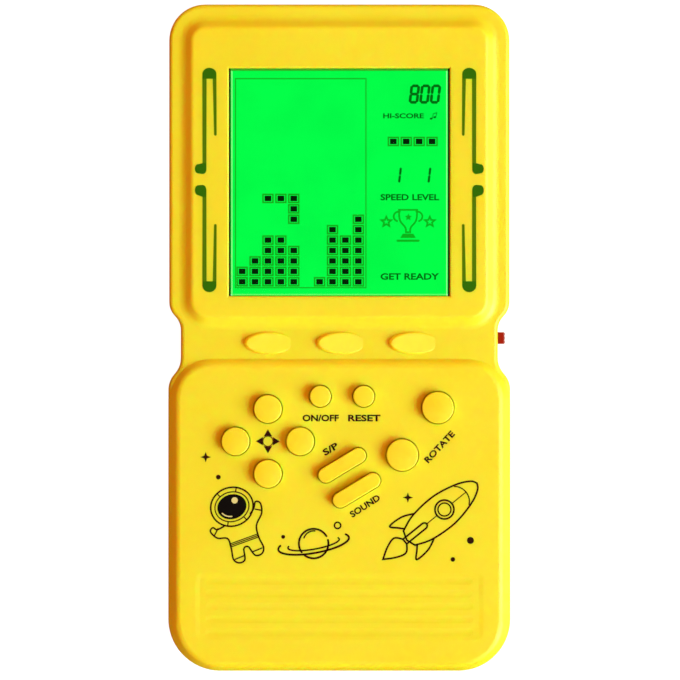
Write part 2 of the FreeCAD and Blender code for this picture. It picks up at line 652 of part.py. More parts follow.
def contact_spring(y, way):
    """A conical spring from a contact plate to a cell's flat end."""
    length = 2 * contact_face() - CELL_LENGTH - 2 * SPRING_GAP
    pitch = (length - SPRING_WIRE) / SPRING_TURNS
    taper = math.degrees(math.atan2(SPRING_R[0] - SPRING_R[1], length))
    helix = Part.makeLongHelix(pitch, length - SPRING_WIRE, SPRING_R[1], taper)
    first = helix.Edges[0]
    start = first.valueAt(first.FirstParameter)
    ring = Part.Wire(Part.makeCircle(SPRING_WIRE, start, first.tangentAt(first.FirstParameter)))
    coil = Part.Wire(helix).makePipeShell([ring], True, True)
    coil.rotate(Vector(0, 0, 0), Vector(0, 1, 0), 90 * way)
    coil.translate(Vector(way * (contact_face() - SPRING_GAP - length + SPRING_WIRE), y, CELL_Z))
    return coil


def solder_tab(y):
    """The end of a contact that passes through the bay's wall."""
    x = (contact_face(), BAY_HALF + BAY_WALL + TAB_REACH)
    return box(x, (y - 1.2, y + 1.2), TAB_Z)


def contact_slots():
    """Slots in the bay's wall for the two solder tabs."""
    x = (BAY_HALF - 0.1, BAY_HALF + BAY_WALL + 0.1)
    z = (TAB_Z[0] - 0.1, TAB_Z[1] + 0.1)
    return [box(x, (y - 1.3, y + 1.3), z) for y, way in cell_rows()]


def contact_positive():
    y = cell_rows()[0][0]
    return union([contact_plate(y, 1), solder_tab(y)])


def contact_negative():
    y = cell_rows()[1][0]
    plate = union([contact_plate(y, 1), solder_tab(y)])
    return Part.makeCompound([plate, contact_spring(y, 1)])


def contact_bridge():
    """One strip that joins the two cells at their other ends."""
    upper, lower = (y for y, way in cell_rows())
    x = (-contact_face() - CONTACT_THICK, -contact_face())
    strip = box(x, (lower, upper), (CELL_Z - 2, CELL_Z + 2))
    plate = union([contact_plate(upper, -1), contact_plate(lower, -1), strip])
    return Part.makeCompound([plate, contact_spring(upper, -1)])


# ---- screen stack ----
def lens_step():
    """Width and height ranges of the part of the lens that stands in the window."""
    x = (LENS_SIDE_GAP - WINDOW_HALF, WINDOW_HALF - LENS_SIDE_GAP)
    return x, (WINDOW_Y[0] + LENS_END_GAP, WINDOW_Y[1] - LENS_END_GAP)


def screen_lens():
    """Clear window that fills the opening, with a flange glued behind the face."""
    flange = box((-LENS_FLANGE_HALF, LENS_FLANGE_HALF), LENS_FLANGE_Y, LENS_FLANGE_Z)
    lens = flange.fuse(box(*lens_step(), (LENS_FLANGE_Z[1], LENS_TOP_Z))).removeSplitter()
    return lens.makeChamfer(LENS_BEVEL, level_edges(lens, LENS_TOP_Z))


def lens_tape():
    """Double-sided tape between the lens's flange and the face."""
    z = (LENS_FLANGE_Z[1], CEILING_PANEL)
    sheet = box((-LENS_FLANGE_HALF, LENS_FLANGE_HALF), LENS_FLANGE_Y, z)
    return sheet.cut(box(*lens_step(), z))


def lcd_glass():
    """Two bonded panes, the front one longer at its foot for the contacts."""
    x = (-GLASS_HALF, GLASS_HALF)
    front = box(x, GLASS_Y, GLASS_Z[1:])
    rear = box(x, (REAR_GLASS_Y, GLASS_Y[1]), GLASS_Z[:2])
    return front.fuse(rear).removeSplitter()


def polarizer(y, z):
    return box((-GUIDE_HALF, GUIDE_HALF), y, (z, z + POLARIZER_THICK))


def backlight_leds():
    """Four side-firing lamps along the top edge of the light guide."""
    wide, deep, tall = LED_SIZE
    lamps = []
    for step in range(4):
        x = (step - 1.5) * LED_PITCH
        y = (GUIDE_Y[1] + 0.1, GUIDE_Y[1] + 0.1 + deep)
        lamps.append(box((x - wide / 2, x + wide / 2), y, (BOARD_Z[1], BOARD_Z[1] + tall)))
    return Part.makeCompound(lamps)


def lcd_frame():
    """Plastic frame on the board that carries the glass and surrounds the backlight."""
    outer = box((-FRAME_HALF, FRAME_HALF), FRAME_Y, FRAME_Z)
    gap = 0.15
    glass_room = box((-GLASS_HALF - gap, GLASS_HALF + gap), (GLASS_Y[0] - gap, GLASS_Y[1] + gap),
                     (FRAME_LEDGE_Z, FRAME_Z[1]))
    light_room = box((-GUIDE_HALF - gap, GUIDE_HALF + gap), (GUIDE_Y[0] - gap, GUIDE_Y[1] + 1.9),
                     (FRAME_Z[0], FRAME_LEDGE_Z))
    zebra_room = box((-ZEBRA_HALF - gap, ZEBRA_HALF + gap), (ZEBRA_Y[0] - gap, ZEBRA_Y[1] + gap),
                     (FRAME_Z[0], FRAME_LEDGE_Z))
    return outer.cut([glass_room, light_room, zebra_room])


# ---- electronics ----
def main_board():
    """One board under the screen and the keypad, with a tab for the slide switch."""
    plate = rounded_plate((-BOARD_HALF, BOARD_HALF), BOARD_Y, 1.5, BOARD_Z)
    tab_x, tab_low, tab_high = BOARD_TAB
    plate = union([plate, rounded_plate((BOARD_HALF - 4, tab_x), (tab_low, tab_high), 1.0, BOARD_Z)])
    holes = [disc(x, y, BOARD_SCREW["shank"] + 0.15, BOARD_Z) for x, y in BOARD_POSTS]
    return plate.cut(holes)


def chip_blob():
    """Epoxy over the bare chip, a low dome on the back of the board."""
    x, y = CHIP["at"]
    radius, rise = CHIP["radius"], CHIP["rise"]
    ball = (radius ** 2 + rise ** 2) / (2 * rise)
    dome = Part.makeSphere(ball, Vector(x, y, BOARD_Z[0] - rise + ball))
    return dome.common(disc(x, y, radius + 1, (BOARD_Z[0] - rise - 1, BOARD_Z[0])))


def filter_capacitor():
    low = BOARD_Z[0] - CAPACITOR["tall"]
    can = disc(*CAPACITOR["at"], CAPACITOR["radius"], (low, BOARD_Z[0]))
    return can.makeFillet(CAPACITOR["round"], level_edges(can, low))


def board_resistors():
    """A row of small parts on the back of the board."""
    wide, deep, tall = RESISTORS["size"]
    y = RESISTORS["y"]
    parts = []
    for step in range(RESISTORS["count"]):
        x = RESISTORS["first_x"] + RESISTORS["pitch"] * step
        parts.append(box((x, x + wide), (y, y + deep), (BOARD_Z[0] - tall, BOARD_Z[0])))
    return Part.makeCompound(parts)


def driver_transistor():
    """Half-round package that drives the sounder."""
    x, y = TRANSISTOR["at"]
    radius = TRANSISTOR["radius"]
    z = (BOARD_Z[0] - TRANSISTOR["tall"], BOARD_Z[0])
    beyond = box((x - radius, x + radius), (y + TRANSISTOR["flat"], y + radius), z)
    return disc(x, y, radius, z).cut(beyond)


def sounder_ceramic():
    z = (BRASS_Z[1], BRASS_Z[1] + CERAMIC_THICK)
    return disc(*SOUNDER, CERAMIC_R, z)


def wire_run(*corners):
    return bent_tube([Vector(*corner) for corner in corners], WIRE_R, WIRE_BEND)


def battery_wire(y, plan):
    """A lead from the solder tab at y to the board: out, along, and up at its end."""
    x = BAY_HALF + BAY_WALL + TAB_REACH
    tab_z = sum(TAB_Z) / 2
    level, (end_x, end_y) = plan["z"], plan["end"]
    return wire_run(
        (x, y, tab_z), (x + plan["out"], y, tab_z), (x + plan["out"], y + plan["up"], level),
        (end_x, end_y, level), (end_x, end_y, BOARD_Z[0]))


def sounder_wire(start_z, plan):
    """A lead from one of the sounder's layers to the back of the board."""
    x, y = SOUNDER
    start_x, end_x = x + plan["start"], x + plan["end"]
    end_y = y - SOUNDER_WIRE_DROP
    return wire_run(
        (start_x, y, start_z), (start_x, y, plan["z"]), (end_x, end_y, plan["z"]),
        (end_x, end_y, BOARD_Z[0]))


# ---- slide switch ----
def switch_housing():
    """Folded metal can under the board's tab, with a slot for the knob."""
    inner = {key: (low + SWITCH_SHEET, high - SWITCH_SHEET) for key, (low, high) in SWITCH_CAN.items()}
    outer = box(*(SWITCH_CAN[key] for key in "xyz"))
    slot_y = (KNOB["y"][0] - KNOB_TRAVEL - KNOB_GAP / 2, KNOB["y"][1] + KNOB_GAP / 2)
    slot_z = (KNOB["z"][0] - 0.1, KNOB["z"][1] + 0.1)
    slot = box((inner["x"][1] - 0.1, SWITCH_CAN["x"][1]), slot_y, slot_z)
    return outer.cut([box(*(inner[key] for key in "xyz")), slot])


def switch_knob():
    """Knob with two fine grooves in its end, on a block that slides in the can."""
    stem = box(KNOB["x"], KNOB["y"], KNOB["z"])
    block = box(KNOB_BLOCK["x"], KNOB_BLOCK["y"], KNOB_BLOCK["z"])
    end = [e for e in stem.Edges if e.BoundBox.XMin > KNOB["x"][1] - 0.01]
    knob = stem.makeFillet(KNOB_ROUND, end).fuse(block).removeSplitter()
    middle = sum(KNOB["y"]) / 2
    tip = KNOB["x"][1]
    deep, half, offset = (KNOB_GROOVE[key] for key in ("deep", "half", "offset"))
    spots = (middle - offset, middle + offset)
    return knob.cut([box((tip - deep, tip), (y - half, y + half), KNOB["z"]) for y in spots])


# ---- everything by node name ----
def all_nodes():
    nodes = {
        "front_shell": front_shell(),
        "rear_shell": rear_shell(),
        "battery_cover": battery_cover(),
        "screen_lens": screen_lens(),
        "lens_tape": lens_tape(),
        "lcd_glass": lcd_glass(),
        "front_polarizer": polarizer(FRONT_FILM_Y, GLASS_Z[2]),
        "rear_polarizer": polarizer(GUIDE_Y, GUIDE_Z[1] + FILM_GAP),
        "light_guide": box((-GUIDE_HALF, GUIDE_HALF), GUIDE_Y, GUIDE_Z),
        "reflector_sheet": box((-GUIDE_HALF, GUIDE_HALF), GUIDE_Y, REFLECTOR_Z),
        "backlight_leds": backlight_leds(),
        "lcd_frame": lcd_frame(),
        "zebra_strip": box((-ZEBRA_HALF, ZEBRA_HALF), ZEBRA_Y, (BOARD_Z[1], GLASS_Z[1])),
        "main_board": main_board(),
        "chip_blob": chip_blob(),
        "filter_capacitor": filter_capacitor(),
        "board_resistors": board_resistors(),
        "driver_transistor": driver_transistor(),
        "keypad_membrane": keypad_membrane(),
        "sounder_disc": disc(*SOUNDER, BRASS_R, BRASS_Z),
        "sounder_ceramic": sounder_ceramic(),
        "contact_positive": contact_positive(),
        "contact_negative": contact_negative(),
        "contact_bridge": contact_bridge(),
        "switch_housing": switch_housing(),
        "switch_knob": switch_knob(),
        "shell_screws": Part.makeCompound([screw(x, y, CASE_SCREW, SCREW_SEAT_Z) for x, y in CASE_BOSSES]),
        "board_screws": Part.makeCompound([screw(x, y, BOARD_SCREW, BOARD_Z[0]) for x, y in BOARD_POSTS]),
    }
    for name in BUTTON_NAMES:
        nodes["button_" + name] = button_cap(name)
        nodes["carbon_pill_" + name] = carbon_pill(name)
    for number, (y, way) in enumerate(cell_rows(), 1):
        nodes["aa_cell_%d" % number] = aa_cell(y, way)
    (plus_y, _), (minus_y, _) = cell_rows()
    nodes["battery_wire_plus"] = battery_wire(plus_y, PLUS_WIRE)
    nodes["battery_wire_minus"] = battery_wire(minus_y, MINUS_WIRE)
    nodes["sounder_wire_inner"] = sounder_wire(BRASS_Z[1] + CERAMIC_THICK, INNER_WIRE)
    nodes["sounder_wire_outer"] = sounder_wire(BRASS_Z[1], OUTER_WIRE)
    return nodes


def main():
    os.makedirs("parts", exist_ok=True)
    for node, shape in all_nodes().items():
        print("%-24s solids %d  valid %s" % (node, len(shape.Solids), shape.isValid()))
        shape.exportStep("parts/%s.step" % node)


main()
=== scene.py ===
"""Looks for the handheld LCD game: plastics, printed marks, the lit screen and the inner parts.

Marks are drawn in millimetres in the case's own plan, +X right and +Y towards the screen end,
and become thin closed meshes that lie on the face or under the lens.
"""
import math

import bmesh
import bpy
from mathutils import Matrix, Vector


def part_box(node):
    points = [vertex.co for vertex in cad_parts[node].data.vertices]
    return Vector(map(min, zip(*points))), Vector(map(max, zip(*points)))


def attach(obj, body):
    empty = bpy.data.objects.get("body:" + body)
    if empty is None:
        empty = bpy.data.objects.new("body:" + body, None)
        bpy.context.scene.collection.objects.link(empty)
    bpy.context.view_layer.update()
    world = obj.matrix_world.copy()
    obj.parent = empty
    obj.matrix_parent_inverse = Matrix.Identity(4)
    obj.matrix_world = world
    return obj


MM = 0.001
CASE = "case"
INK_THICK = 0.02
LCD_THICK = 0.03

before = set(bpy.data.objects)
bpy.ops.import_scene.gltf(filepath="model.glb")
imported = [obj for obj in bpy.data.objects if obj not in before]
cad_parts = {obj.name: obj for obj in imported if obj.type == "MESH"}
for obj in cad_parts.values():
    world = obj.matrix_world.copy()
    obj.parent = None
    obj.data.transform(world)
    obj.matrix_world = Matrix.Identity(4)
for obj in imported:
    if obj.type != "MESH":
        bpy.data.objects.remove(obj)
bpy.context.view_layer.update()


def top_of(node):
    """Height of a node's highest point, in millimetres."""
    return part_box(node)[1].z / MM


FACE_Z = top_of("front_shell")
LCD_Z = top_of("front_polarizer")


# ---- colours ----
def linear(red, green, blue):
    """A display colour of 0 to 255 a channel, as the linear colour that shaders take."""
    def channel(value):
        value /= 255
        return value / 12.92 if value <= 0.04045 else ((value + 0.055) / 1.055) ** 2.4
    return (channel(red), channel(green), channel(blue), 1.0)


YELLOW = linear(250, 229, 50)
YELLOW_DEEP = linear(249, 225, 44)
INK_BROWN = linear(44, 10, 2)
INK_GREEN = linear(44, 104, 0)
INK_OLIVE = linear(76, 116, 0)
LCD_GREEN = linear(0, 255, 72)
KNOB_RED = linear(150, 26, 12)


# ---- materials ----
def new_material(name, color, roughness, **inputs):
    """A principled material and its shader, with the other inputs set by name."""
    material = bpy.data.materials.new(name)
    material.use_nodes = True
    shader = material.node_tree.nodes["Principled BSDF"]
    shader.inputs["Base Color"].default_value = color
    shader.inputs["Roughness"].default_value = roughness
    for key, value in inputs.items():
        shader.inputs[key.replace("_", " ")].default_value = value
    return material, shader


def add_node(material, kind, **settings):
    node = material.node_tree.nodes.new(kind)
    for key, value in settings.items():
        setattr(node, key, value)
    return node


def noise(material, scale, detail=3.0):
    """Noise fixed to the object, with scale in cycles per metre."""
    links = material.node_tree.links
    place = add_node(material, "ShaderNodeTexCoord")
    texture = add_node(material, "ShaderNodeTexNoise")
    texture.inputs["Scale"].default_value = scale
    texture.inputs["Detail"].default_value = detail
    links.new(place.outputs["Object"], texture.inputs["Vector"])
    return texture.outputs["Fac"]


def spread(material, value, low, high):
    """The value, from 0.35 to 0.65, mapped on to low to high."""
    remap = add_node(material, "ShaderNodeMapRange")
    remap.inputs["From Min"].default_value = 0.35
    remap.inputs["From Max"].default_value = 0.65
    remap.inputs["To Min"].default_value = low
    remap.inputs["To Max"].default_value = high
    material.node_tree.links.new(value, remap.inputs["Value"])
    return remap.outputs["Result"]


def mottle(material, shader, one, other, scale, socket="Base Color"):
    """A colour that drifts softly between two near colours."""
    mix = add_node(material, "ShaderNodeMix", data_type="RGBA")
    mix.inputs["A"].default_value = one
    mix.inputs["B"].default_value = other
    links = material.node_tree.links
    links.new(spread(material, noise(material, scale), 0.0, 1.0), mix.inputs["Factor"])
    links.new(mix.outputs["Result"], shader.inputs[socket])


def grain(material, shader, scale, depth_mm, rough):
    """Fine moulded grain as bump, and roughness that varies with it."""
    links = material.node_tree.links
    bump = add_node(material, "ShaderNodeBump")
    bump.inputs["Strength"].default_value = 1.0
    bump.inputs["Distance"].default_value = depth_mm * MM
    links.new(noise(material, scale, 4.0), bump.inputs["Height"])
    links.new(bump.outputs["Normal"], shader.inputs["Normal"])
    links.new(spread(material, noise(material, scale / 12), *rough), shader.inputs["Roughness"])


def moulded_yellow(name, depth_mm):
    """Satin ABS that lets red light pass furthest under its surface, so shadows are orange."""
    material, shader = new_material(name, YELLOW, 0.42, Subsurface_Weight=0.9, Subsurface_Scale=3.0 * MM)
    shader.inputs["Subsurface Radius"].default_value = (1.0, 0.2, 0.03)
    mottle(material, shader, YELLOW, YELLOW_DEEP, 30)
    grain(material, shader, 3200, depth_mm, (0.38, 0.5))
    return material


def plain(name, color, roughness, depth_mm=0.004, **inputs):
    """A moulded or coated surface of one colour with a fine grain."""
    material, shader = new_material(name, color, roughness, **inputs)
    grain(material, shader, 1500, depth_mm, (roughness * 0.85, min(1.0, roughness * 1.2)))
    return material


def metal(name, color, roughness):
    material, shader = new_material(name, color, roughness, Metallic=1.0)
    grain(material, shader, 900, 0.003, (roughness * 0.7, roughness * 1.4))
    return material


def clear_acrylic():
    """Clear plastic whose polish is a little uneven."""
    material, shader = new_material("clear_acrylic", (1, 1, 1, 1), 0.03, IOR=1.49, Transmission_Weight=1.0)
    haze = spread(material, noise(material, 45), 0.02, 0.05)
    material.node_tree.links.new(haze, shader.inputs["Roughness"])
    return material


def glow(name, color):
    """A part of the lit screen: light from behind it, slightly uneven, and almost no reflection."""
    material, shader = new_material(name, (0, 0, 0, 1), 0.6, Specular_IOR_Level=0.0)
    dimmer = tuple(channel * 0.93 for channel in color[:3]) + (1.0,)
    mottle(material, shader, color, dimmer, 60, "Emission Color")
    shader.inputs["Emission Strength"].default_value = 1.1
    return material


def circuit_board():
    """Green solder mask over copper lines that run along the board."""
    material, shader = new_material("circuit_board", linear(20, 92, 44), 0.35)
    links = material.node_tree.links
    place = add_node(material, "ShaderNodeTexCoord")
    bricks = add_node(material, "ShaderNodeTexBrick", offset=0.37, squash=1.6, squash_frequency=3)
    bricks.inputs["Scale"].default_value = 160
    bricks.inputs["Mortar Size"].default_value = 0.018
    bricks.inputs["Color1"].default_value = linear(16, 84, 40)
    bricks.inputs["Color2"].default_value = linear(22, 98, 46)
    bricks.inputs["Mortar"].default_value = linear(70, 140, 70)
    links.new(place.outputs["Object"], bricks.inputs["Vector"])
    links.new(bricks.outputs["Color"], shader.inputs["Base Color"])
    return material


STEEL = linear(196, 196, 192)
WRAP_BLUE = linear(28, 60, 130)
WRAP_GOLD = linear(214, 168, 60)


def is_bare_metal(color):
    return (1, 1, 1, 1) if color == STEEL else (0, 0, 0, 1)


def banded(name, bands, roughness):
    """Colours that change along X: bands are (start in mm, colour), in order. Steel is bare metal."""
    material, shader = new_material(name, bands[0][1], roughness)
    links = material.node_tree.links
    place = add_node(material, "ShaderNodeTexCoord")
    split = add_node(material, "ShaderNodeSeparateXYZ")
    links.new(place.outputs["Object"], split.inputs["Vector"])
    low = bands[0][0] * MM
    span = (bands[-1][0] - bands[0][0]) * MM
    remap = add_node(material, "ShaderNodeMapRange")
    remap.inputs["From Min"].default_value = low
    remap.inputs["From Max"].default_value = low + span
    links.new(split.outputs["X"], remap.inputs["Value"])
    for socket, pick in (("Base Color", tuple), ("Metallic", is_bare_metal)):
        ramp = add_node(material, "ShaderNodeValToRGB")
        ramp.color_ramp.interpolation = "CONSTANT"
        stops = ramp.color_ramp.elements
        stops[0].color = pick(bands[0][1])
        stops.remove(stops[1])
        for start, color in bands[1:-1]:
            stop = stops.new((start * MM - low) / span)
            stop.color = pick(color)
        links.new(remap.outputs["Result"], ramp.inputs["Fac"])
        links.new(ramp.outputs["Color"], shader.inputs[socket])
    return material


def cell_wrap(node, positive_end):
    """A plain two-tone battery wrap, with bare metal at both ends of the cell."""
    low, high = (corner.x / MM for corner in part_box(node))
    length = high - low
    body = [(0.0, STEEL), (1.3, WRAP_BLUE), (36.0, WRAP_GOLD), (47.6, STEEL), (length, STEEL)]
    if positive_end < 0:
        body = [(0.0, STEEL), (2.9, WRAP_GOLD), (14.5, WRAP_BLUE), (49.2, STEEL), (length, STEEL)]
    bands = [(low + start, color) for start, color in body]
    return banded("wrap_" + node, bands, 0.28)


def assign(node, material):
    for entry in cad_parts[node].material_slots:
        entry.material = material


def dress_cad_nodes():
    """Every CAD node that shows gets its own finish."""
    case = moulded_yellow("case_yellow", 0.012)
    cap = moulded_yellow("button_yellow", 0.008)
    steel = metal("nickel_plate", linear(200, 198, 190), 0.28)
    zinc = metal("zinc_plate", linear(184, 186, 190), 0.35)
    black = plain("black_resin", linear(22, 22, 24), 0.35)
    carbon = plain("carbon_rubber", linear(26, 26, 26), 0.8)
    white = plain("white_plastic", linear(232, 232, 228), 0.5)
    clear = clear_acrylic()
    red_wire = plain("red_insulation", linear(170, 18, 16), 0.4)
    black_wire = plain("black_insulation", linear(20, 20, 20), 0.4)
    film = plain("grey_film", linear(120, 126, 118), 0.3)
    finishes = {
        "front_shell": case, "rear_shell": case, "battery_cover": case,
        "screen_lens": clear, "lcd_glass": clear, "light_guide": clear,
        "lens_tape": plain("black_tape", linear(8, 8, 8), 0.7),
        "front_polarizer": glow("lit_screen", LCD_GREEN), "rear_polarizer": film,
        "reflector_sheet": white, "lcd_frame": white, "backlight_leds": white,
        "zebra_strip": plain("contact_rubber", linear(150, 70, 56), 0.6),
        "main_board": circuit_board(), "chip_blob": black, "board_resistors": black,
        "driver_transistor": black, "filter_capacitor": plain("dark_sleeve", linear(24, 30, 84), 0.3),
        "keypad_membrane": plain("keypad_rubber", linear(186, 186, 180), 0.6, Subsurface_Weight=0.2),
        "sounder_disc": metal("brass", linear(214, 176, 96), 0.25),
        "sounder_ceramic": plain("silvered_ceramic", linear(214, 212, 202), 0.4),
        "contact_positive": steel, "contact_negative": steel, "contact_bridge": steel,
        "switch_housing": steel, "shell_screws": zinc, "board_screws": zinc,
        "switch_knob": plain("red_knob", KNOB_RED, 0.25, depth_mm=0.003),
        "aa_cell_1": cell_wrap("aa_cell_1", 1), "aa_cell_2": cell_wrap("aa_cell_2", -1),
        "battery_wire_plus": red_wire, "sounder_wire_inner": red_wire,
        "battery_wire_minus": black_wire, "sounder_wire_outer": black_wire,
    }
    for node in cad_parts:
        if node.startswith("button_"):
            finishes[node] = cap
        if node.startswith("carbon_pill_"):
            finishes[node] = carbon
    for node, material in finishes.items():
        assign(node, material)


# ---- drawing marks ----
CORNERS = ((-1, -1), (1, -1), (1, 1), (-1, 1))
BOLD = 0.03                        # how much the plain letters are thickened, in font units


def arc(cx, cy, rx, ry, start, end, steps=12):
    """Points along an ellipse's arc, angles in degrees."""
    points = []
    for step in range(steps + 1):
        angle = math.radians(start + (end - start) * step / steps)
        points.append((cx + rx * math.cos(angle), cy + ry * math.sin(angle)))
    return points


def ellipse(cx, cy, rx, ry, steps=32):
    return arc(cx, cy, rx, ry, 0, 360, steps)[:-1]


def smooth(points, steps=6):
    """A soft curve through a few points (Catmull-Rom)."""
    last = len(points) - 1

    def at(index):
        return Vector(points[max(0, min(last, index))])

    curve = []
    for span in range(last):
        p0, p1, p2, p3 = (at(span + k) for k in (-1, 0, 1, 2))
        for step in range(steps):
            t = step / steps
            point = p1 * 2 + (p2 - p0) * t + (p0 * 2 - p1 * 5 + p2 * 4 - p3) * t * t
            curve.append((point + (p1 * 3 - p0 - p2 * 3 + p3) * t ** 3) / 2)
    return curve + [at(last)]


class Marks:
    """Flat marks in millimetres, gathered into one thin closed mesh."""

    def __init__(self, low, thick):
        self.heights = (low, low + thick)
        self.mesh = bmesh.new()
        self.at()

    def at(self, x=0.0, y=0.0, tilt=0.0, flip=False):
        """Place what follows: its own origin goes to x, y, turned by tilt degrees."""
        turn = Matrix.Rotation(math.radians(tilt), 4, "Z")
        mirror = Matrix.Diagonal((-1 if flip else 1, 1, 1, 1))
        self.place = Matrix.Translation((x, y, 0)) @ turn @ mirror
        return self

    def _ring(self, points, height):
        made = []
        for point in points:
            spot = self.place @ Vector((point[0], point[1], 0))
            made.append(self.mesh.verts.new((spot.x * MM, spot.y * MM, height * MM)))
        return made

    def fill(self, outline):
        """A filled shape inside a loop of points."""
        lower, upper = (self._ring(outline, height) for height in self.heights)
        self.mesh.faces.new(upper)
        self.mesh.faces.new(list(reversed(lower)))
        for a, b, c, d in zip(lower, lower[1:] + lower[:1], upper[1:] + upper[:1], upper):
            self.mesh.faces.new((a, b, c, d))

    def block(self, x, y, wide, tall):
        """A filled rectangle about its middle."""
        self.fill([(x + sx * wide / 2, y + sy * tall / 2) for sx, sy in CORNERS])

    def stroke(self, points, width, closed=False):
        """A line of even width, with round ends unless it is closed."""
        path = [Vector(point) for point in points]
        count = len(path)
        rails = []
        for index, here in enumerate(path):
            before = path[index - 1] if index or closed else here
            after = path[(index + 1) % count] if index + 1 < count or closed else here
            into, out = (here - before).normalized(), (after - here).normalized()
            along = (into + out).normalized()
            across = Vector((-along.y, along.x))
            lean = max(0.4, along.dot(out if out.length else into))
            rails.append((here + across * width / 2 / lean, here - across * width / 2 / lean))
        if not closed:
            rails = self._round_end(path[0], path[1], width) + rails
            rails += [(a, b) for b, a in reversed(self._round_end(path[-1], path[-2], width))]
        self._strip(rails, closed)

    @staticmethod
    def _round_end(end, inner, width):
        """Cross-sections of a half-round cap, from its tip to the end of the line."""
        out = (end - inner).normalized()
        across = Vector((out.y, -out.x))
        sections = []
        for degrees in (15, 45, 70):
            angle = math.radians(degrees)
            tip = end + out * width / 2 * math.cos(angle)
            half = across * width / 2 * math.sin(angle)
            sections.append((tip + half, tip - half))
        return sections

    def _strip(self, rails, closed):
        left, right = zip(*rails)
        corners = [self._ring(side, height) for height in self.heights for side in (left, right)]
        low_left, low_right, high_left, high_right = corners
        count = len(rails)
        last = count if closed else count - 1
        for i in range(last):
            j = (i + 1) % count
            self.mesh.faces.new((high_left[i], high_left[j], high_right[j], high_right[i]))
            self.mesh.faces.new((low_left[j], low_left[i], low_right[i], low_right[j]))
            self.mesh.faces.new((low_left[i], low_left[j], high_left[j], high_left[i]))
            self.mesh.faces.new((low_right[j], low_right[i], high_right[i], high_right[j]))
        if not closed:
            for i in (0, count - 1):
                self.mesh.faces.new((low_left[i], low_right[i], high_right[i], high_left[i]))

    def text(self, words, x, y, tall, wide, tilt=0.0):
        """Plain bold capitals of the given height, squeezed or stretched to the given width."""
        curve = bpy.data.curves.new("words", "FONT")
        curve.body = words
        curve.align_x = "CENTER"
        curve.align_y = "CENTER"
        curve.offset = BOLD
        curve.extrude = 0.5
        curve.resolution_u = 3
        holder = bpy.data.objects.new("words", curve)
        mesh = bpy.data.meshes.new_from_object(holder)
        low = Vector((min(v.co[k] for v in mesh.vertices) for k in range(3)))
        high = Vector((max(v.co[k] for v in mesh.vertices) for k in range(3)))
        size = high - low
        middle = (low + high) / 2
        thick = self.heights[1] - self.heights[0]
        scale = (wide / size.x * MM, tall / size.y * MM, thick / size.z * MM, 1)
        shape = Matrix.Diagonal(scale) @ Matrix.Translation(-middle)
        height = sum(self.heights) / 2 * MM
        turn = Matrix.Rotation(math.radians(tilt), 4, "Z")
        spot = self.place @ Vector((x, y, 0)) * MM
        mesh.transform(Matrix.Translation((spot.x, spot.y, height)) @ turn @ shape)
        self.mesh.from_mesh(mesh)
        bpy.data.objects.remove(holder)
        bpy.data.meshes.remove(mesh)
        bpy.data.curves.remove(curve)

    def piece(self, name, material, slot):
        """Finish the mesh as a piece that rides on the case."""
        bmesh.ops.remove_doubles(self.mesh, verts=self.mesh.verts, dist=1e-7)
        bmesh.ops.recalc_face_normals(self.mesh, faces=self.mesh.faces)
        mesh = bpy.data.meshes.new(name)
        self.mesh.to_mesh(mesh)
        self.mesh.free()
        mesh.materials.append(material)
        made = bpy.data.objects.new(name, mesh)
        bpy.context.scene.collection.objects.link(made)
        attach(made, CASE)
        return made


def face_marks():
    return Marks(FACE_Z - 0.002, INK_THICK)


# ---- print on the face ----
LABEL_TALL = 1.9
LABELS = (                         # words, middle, width and tilt
    ("ON/OFF", -5.3, -22.9, 10.3, 0),
    ("RESET", 7.1, -22.9, 9.2, 0),
    ("S/P", -2.5, -31.7, 4.6, 31),
    ("SOUND", 7.3, -47.9, 9.6, 33),
    ("ROTATE", 28.5, -31.1, 11.2, 47),
)


def draw_labels(ink):
    """Names of the buttons, in plain capitals."""
    marks = face_marks()
    for words, x, y, wide, tilt in LABELS:
        marks.text(words, x, y, LABEL_TALL, wide, tilt)
    marks.piece("ink_labels", ink, "case_plastic")


DPAD_MIDDLE = (-20.3, -29.5)


def draw_arrows(ink):
    """Four arrowheads round a small circle, in the middle of the direction buttons."""
    marks = face_marks()
    for quarter in range(4):
        marks.at(*DPAD_MIDDLE, 90 * quarter)
        marks.fill([(1.35, -1.2), (3.4, 0), (1.35, 1.2), (1.6, 0)])
    marks.at(*DPAD_MIDDLE).stroke(ellipse(0, 0, 1.45, 1.45), 0.22, closed=True)
    marks.piece("ink_arrows", ink, "case_plastic")


def sparkle(marks, x, y, reach):
    """A four-pointed star with hollow sides."""
    marks.at(x, y)
    waist = reach * 0.28
    points = []
    for quarter in range(4):
        angle = math.radians(90 * quarter)
        between = math.radians(90 * quarter + 45)
        points.append((reach * math.cos(angle), reach * math.sin(angle)))
        points.append((waist * 1.3 * math.cos(between), waist * 1.3 * math.sin(between)))
    marks.fill(points)


def draw_stars(ink):
    marks = face_marks()
    sparkle(marks, -38.0, -34.0, 1.5)
    sparkle(marks, 19.5, -45.5, 1.45)
    marks.at()
    for x, y, radius in ((-34.4, -39.7, 0.68), (37.3, -57.7, 1.0), (32.3, -63.1, 0.65)):
        marks.fill(ellipse(x, y, radius, radius, 16))
    marks.piece("ink_stars", ink, "case_plastic")


FIGURE = (-29.0, -53.2, 18)        # where the floating figure stands, and its tilt
HELMET = (0.1, 5.3)


